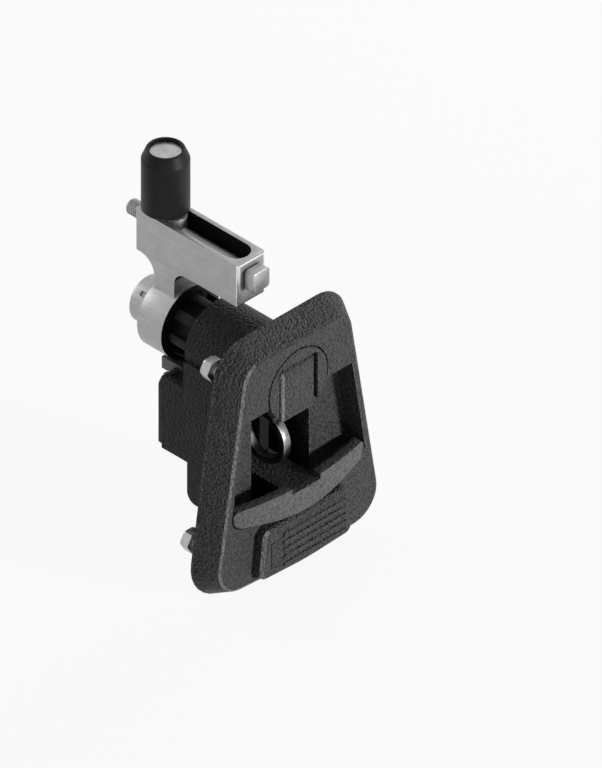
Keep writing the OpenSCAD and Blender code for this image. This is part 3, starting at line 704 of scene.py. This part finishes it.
class LATCH_OT_cam(bpy.types.Operator):
    """Finish the arm, its hub nut, the padlock eye and the roller's carrier"""

    bl_idname = "latch.cam"
    bl_label = "Cam arm"

    def execute(self, context):
        edge = context.scene.latch_sizes.steel_edge
        # the arm's outer edges get a painted highlight
        self.finish_arm(paint_edge_light(eased_copy("cam_arm", edge), "cam_highlight"))
        eased_copy("cam_nut", edge)
        self.finish_eye(eased_copy("padlock_eye", edge))
        eased_copy("roller_carrier", edge * 0.5)
        return {"FINISHED"}

    def finish_arm(self, arm):
        """Paints shade on the arm's slot and on its faces over the collar in near-black, and paints a
        highlight on its rounded nose.
        """
        arm.data.materials.append(finishes()["black_and_painted_shade"])
        slot_low = (-6.9 * MM, 19.5 * MM, 35.9 * MM)
        slot_high = (6.9 * MM, 79.6 * MM, 53.5 * MM)
        flank = 8.8 * MM
        underside = 33 * MM
        hub_front = 57 * MM
        nose_back = 18.9 * MM
        for face in arm.data.polygons:
            spot, normal = face.center, face.normal
            in_slot = all(low < at < high for low, at, high in zip(slot_low, spot, slot_high))
            looks_down = normal.y < -0.5 or normal.z < -0.5 and abs(spot.x) < flank
            if in_slot or spot.z < underside and spot.y < hub_front and looks_down:
                # the slot and the faces over the collar that look down get near-black: painted shade
                face.material_index = 2
            elif spot.y < nose_back and 0.3 < -normal.y < 0.96 and abs(normal.z) < 0.3:
                # the rounded nose's strip gets a painted highlight
                face.material_index = 1

    def finish_eye(self, eye):
        """Darkens the ring's zinc as painted shade, and paints the stem behind the ring near-black as
        painted shade.
        """
        ring_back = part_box("padlock_eye")[0][1] + 24 * MM
        # the eye's zinc is a darker copy of the bright zinc: painted shade
        eye.data.materials[0] = finishes()["shaded_eye_zinc"]
        eye.data.materials.append(finishes()["black_and_painted_shade"])
        for face in eye.data.polygons:
            if face.center.y > ring_back:
                # the stem behind the ring gets near-black: painted shade
                face.material_index = 2


class LATCH_OT_adjusting_screw(bpy.types.Operator):
    """Model the adjusting screw: a square head, a collar and a threaded shank"""

    bl_idname = "latch.adjusting_screw"
    bl_label = "Adjusting screw"

    def execute(self, context):
        sizes = context.scene.latch_sizes
        low, high = (Vector(corner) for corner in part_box("adjusting_screw"))
        centre = Vector(((low.x + high.x) / 2, 0, (low.z + high.z) / 2))
        side = high.x - low.x
        head_back = low.y + 5.4 * MM
        head_corner = 2.2 * MM
        head_edge = 0.55 * MM
        shank_r = 3.9 * MM
        collar_r = shank_r + 1 * MM
        bpy.ops.object.select_all(action="DESELECT")
        bpy.ops.mesh.primitive_cube_add(size=1, location=(centre.x, (low.y + head_back) / 2, centre.z))
        head = context.object
        head.scale = (side, head_back - low.y, side)
        bpy.ops.object.transform_apply(location=True, rotation=True, scale=True)
        self.round_corners(head, head_corner)
        soften(head, head_edge)
        rings = [(collar_r, head_back - 0.1 * MM), (collar_r, head_back + 0.4 * MM)]
        rings += thread_rings(shank_r, sizes.screw_pitch, sizes.thread_depth,
                              head_back + 0.5 * MM, high.y - 1 * MM)
        rings += [(shank_r - 0.8 * MM, high.y)]
        shank = turned("shank", rings, centre, 40)
        close_and_face_out(shank)
        smooth_shading(shank, 50)
        stand_for(joined([head, shank], "adjusting_screw_finished"), "adjusting_screw")
        return {"FINISHED"}

    def round_corners(self, head, radius):
        """Rounds the four edges of the head that run along Y."""
        only(head)
        bpy.ops.object.mode_set(mode="EDIT")
        bpy.ops.mesh.select_mode(type="EDGE")
        bpy.ops.mesh.select_all(action="DESELECT")
        bpy.ops.object.mode_set(mode="OBJECT")
        for edge in head.data.edges:
            first, last = (head.data.vertices[i].co for i in edge.vertices)
            edge.select = abs(first.y - last.y) > 1 * MM
        bpy.ops.object.mode_set(mode="EDIT")
        bpy.ops.mesh.bevel(offset=radius, segments=6)
        bpy.ops.object.mode_set(mode="OBJECT")


class LATCH_OT_studs(bpy.types.Operator):
    """Model one threaded mounting stud and copy it to the four corners"""

    bl_idname = "latch.studs"
    bl_label = "Mounting studs"

    def execute(self, context):
        sizes = context.scene.latch_sizes
        low, high = (Vector(corner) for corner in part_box("mounting_studs"))
        radius = 3 * MM
        rings = [(radius - 0.4 * MM, low.y), (radius, low.y + 0.4 * MM)]
        rings += thread_rings(radius, sizes.stud_pitch, sizes.thread_depth, 0, high.y - 0.6 * MM)
        rings += [(radius - 0.7 * MM, high.y)]
        stud = turned("stud", rings, (0, 0, 0), 32)
        close_and_face_out(stud)
        smooth_shading(stud, 50)
        wide = high.x - radius
        lower = low.z + radius
        upper = high.z - radius
        places = ((-wide, 0, lower), (wide, 0, lower),
                  (-UPPER_STUD_X, 0, upper), (UPPER_STUD_X, 0, upper))
        studs = joined(copied_to(stud, places), "mounting_studs_finished")
        stand_for(studs, "mounting_studs")
        return {"FINISHED"}


class LATCH_OT_springs(bpy.types.Operator):
    """Model the two coil springs in the housing"""

    bl_idname = "latch.springs"
    bl_label = "Springs"

    def execute(self, context):
        coil_spring("lever_return_spring", mean=3.1 * MM, wire=0.5 * MM, turns=4, axis="X")
        spring = coil_spring("button_spring", mean=3.6 * MM, wire=0.45 * MM, turns=5, axis="Y")
        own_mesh(spring)
        return {"FINISHED"}


class LATCH_OT_roller(bpy.types.Operator):
    """Finish the roller, its pin, the stud nuts and the cover's screws"""

    bl_idname = "latch.roller"
    bl_label = "Roller and nuts"

    def execute(self, context):
        edge = context.scene.latch_sizes.steel_edge
        eased_copy("roller", edge * 1.2)
        eased_copy("roller_pin", edge)
        eased_copy("stud_nuts", edge * 0.6)
        eased_copy("cover_screws", edge * 0.5)
        return {"FINISHED"}


class LATCH_OT_small_parts(bpy.types.Operator):
    """Give the remaining nodes their finishes"""

    bl_idname = "latch.small_parts"
    bl_label = "Small parts"

    def execute(self, context):
        for name, node in frame["nodes"].items():
            if not node.hide_render:
                set_finish(node, SLOT_OF[name])
        return {"FINISHED"}


class LATCH_PT_panel(bpy.types.Panel):
    """Lists the steps of the latch"""

    bl_idname = "LATCH_PT_panel"
    bl_label = "Latch"
    bl_space_type = "VIEW_3D"
    bl_region_type = "UI"
    bl_category = "Latch"

    def draw(self, context):
        for operator in STEPS:
            self.layout.operator(operator.bl_idname)


STEPS = (LATCH_OT_stage, LATCH_OT_castings, LATCH_OT_housing, LATCH_OT_cam, LATCH_OT_adjusting_screw,
         LATCH_OT_studs, LATCH_OT_springs, LATCH_OT_roller, LATCH_OT_small_parts)
CLASSES = (LatchSizes, LatchColours, *STEPS, LATCH_PT_panel)


def register():
    for item in CLASSES:
        bpy.utils.register_class(item)
    bpy.types.Scene.latch_sizes = bpy.props.PointerProperty(type=LatchSizes)
    bpy.types.Scene.latch_colours = bpy.props.PointerProperty(type=LatchColours)


def unregister():
    del bpy.types.Scene.latch_colours
    del bpy.types.Scene.latch_sizes
    for item in reversed(CLASSES):
        bpy.utils.unregister_class(item)


def main():
    register()
    bpy.context.scene.view_settings.view_transform = "Standard"
    bpy.ops.latch.stage()
    bpy.ops.latch.castings()
    bpy.ops.latch.housing()
    bpy.ops.latch.cam()
    bpy.ops.latch.adjusting_screw()
    bpy.ops.latch.studs()
    bpy.ops.latch.springs()
    bpy.ops.latch.roller()
    bpy.ops.latch.small_parts()


if __name__ == "__main__":
    main()
